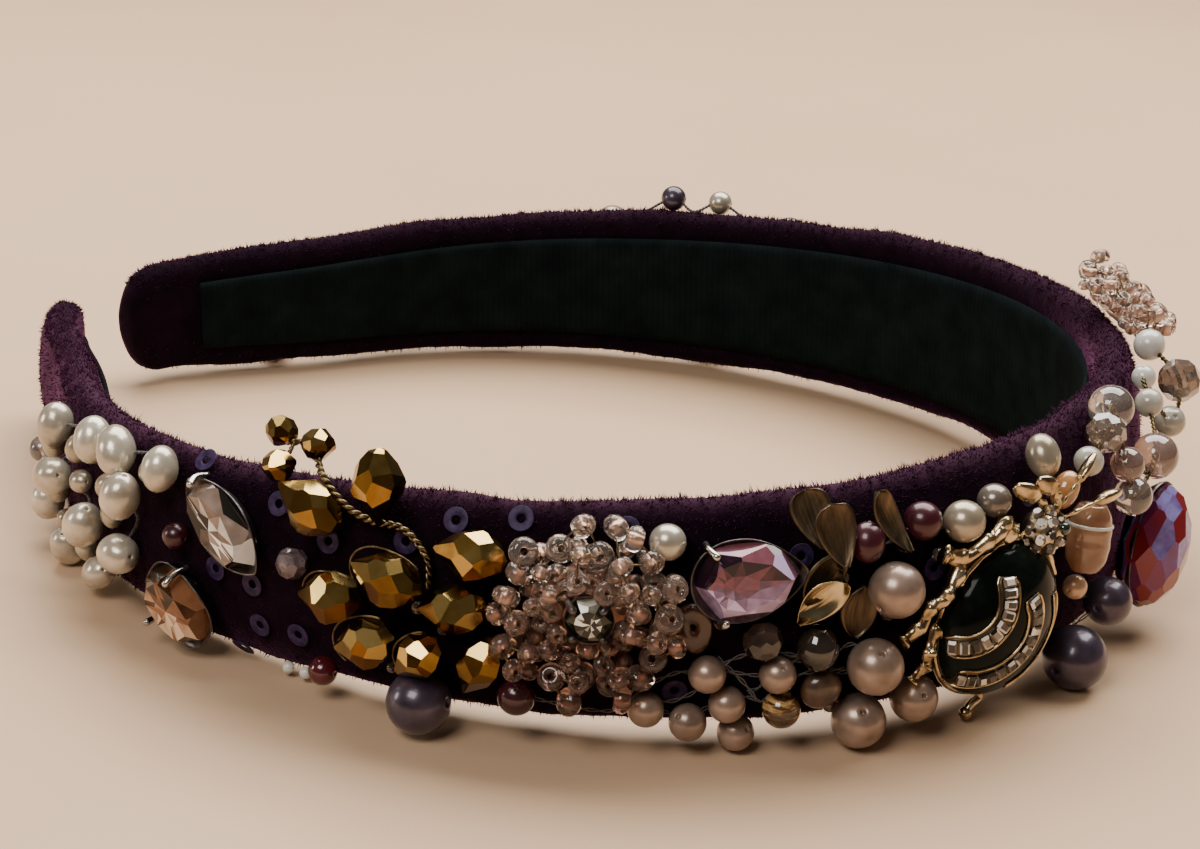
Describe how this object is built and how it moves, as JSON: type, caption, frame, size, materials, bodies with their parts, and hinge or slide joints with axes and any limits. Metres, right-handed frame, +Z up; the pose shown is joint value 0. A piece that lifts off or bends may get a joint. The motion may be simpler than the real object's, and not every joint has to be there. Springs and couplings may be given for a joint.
{
  "type": "beaded velvet headband",
  "caption": "Padded velvet headband with a ribbon lining, its outer face sewn with pearls, cut stones, faceted drops, seed-bead flowers and an insect brooch.",
  "frame": {"origin": "middle of the bounding box in plan, on the surface that the headband lies on", "axes": "+X towards the crown, the tips at -X; -Y the beaded front arm, +Y the far arm; +Z up, across the width of the band"},
  "size_m": [0.152, 0.135, 0.0343],
  "materials": {
    "amber": "brown amber glass",
    "amethyst": "lilac cut glass, foiled back",
    "bronze_drop": "faceted, bronze mirror coating",
    "bronze_leaf": "brushed bronze",
    "champagne": "champagne pearl coating with a soft lustre",
    "clear_crystal": "clear cut glass, foiled back",
    "enamel": "black enamel",
    "garnet": "dark red pearl coating",
    "gold": "pale gold plate, polished",
    "grey_purple": "grey-purple pearl coating",
    "ivory": "glossy ivory pearl coating",
    "peach_crystal": "peach cut glass",
    "ribbon": "near-black green grosgrain ribbon",
    "rose_glass": "pale rose seed beads",
    "shimmer": "red cut glass with a blue and purple shimmer",
    "smoke": "smoky clear glass",
    "velvet": "soft aubergine velvet with a short pile"
  },
  "bodies": {
    "root": {"amber_drop": "amber", "amethyst_stone": "amethyst", "bronze_leaf_1": "bronze_leaf", "bronze_leaf_2": "bronze_leaf", "bronze_leaf_3": "bronze_leaf", "bronze_leaf_4": "bronze_leaf", "bronze_leaf_5": "bronze_leaf", "bronze_pearl": "grey_purple", "brown_bead": "amber", "champagne_pearl": "champagne", "clear_rose_bead": "rose_glass", "crimson_bead": "garnet", "crown_beads": "smoke", "crown_flower": "rose_glass", "cup_drop": "smoke", "far_pearl_1": "champagne", "far_pearl_2": "champagne", "far_pearl_3": "champagne", "far_pearl_row": "champagne", "flower_beads": "rose_glass", "flower_chaton": "clear_crystal", "garnet_bead_low": "garnet", "garnet_pearl_1": "garnet", "garnet_pearl_2": "garnet", "gold_drop_1": "bronze_drop", "gold_drop_2": "bronze_drop", "gold_drop_3": "bronze_drop", "gold_drop_4": "bronze_drop", "gold_drop_5": "bronze_drop", "gold_drop_6": "bronze_drop", "gold_drop_7": "bronze_drop", "gold_spray": "bronze_drop", "grey_oval_pearl": "ivory", "grey_pearl_left": "grey_purple", "grey_pearl_right_1": "grey_purple", "grey_pearl_right_2": "grey_purple", "insect_body": "enamel", "insect_frame": "gold", "ivory_pearl": "ivory", "large_pearl_1": "champagne", "large_pearl_2": "champagne", "large_pearl_3": "champagne", "large_pearl_4": "champagne", "lining_ribbon": "ribbon", "navette_stone": "clear_crystal", "peach_barrel_bead": "peach_crystal", "peach_cushion_stone": "peach_crystal", "rice_pearl_cluster": "ivory", "shimmer_crystal": "shimmer", "small_garnet_bead": "garnet", "small_peach_pearl": "champagne", "small_pearl_1": "champagne", "small_pearl_2": "champagne", "small_pearl_3": "champagne", "small_pearl_4": "champagne", "small_pearl_5": "champagne", "small_pearl_6": "champagne", "smoky_bead": "smoke", "tiger_bead": "amber", "velvet_band": "velvet"}
  },
  "joints": []
}
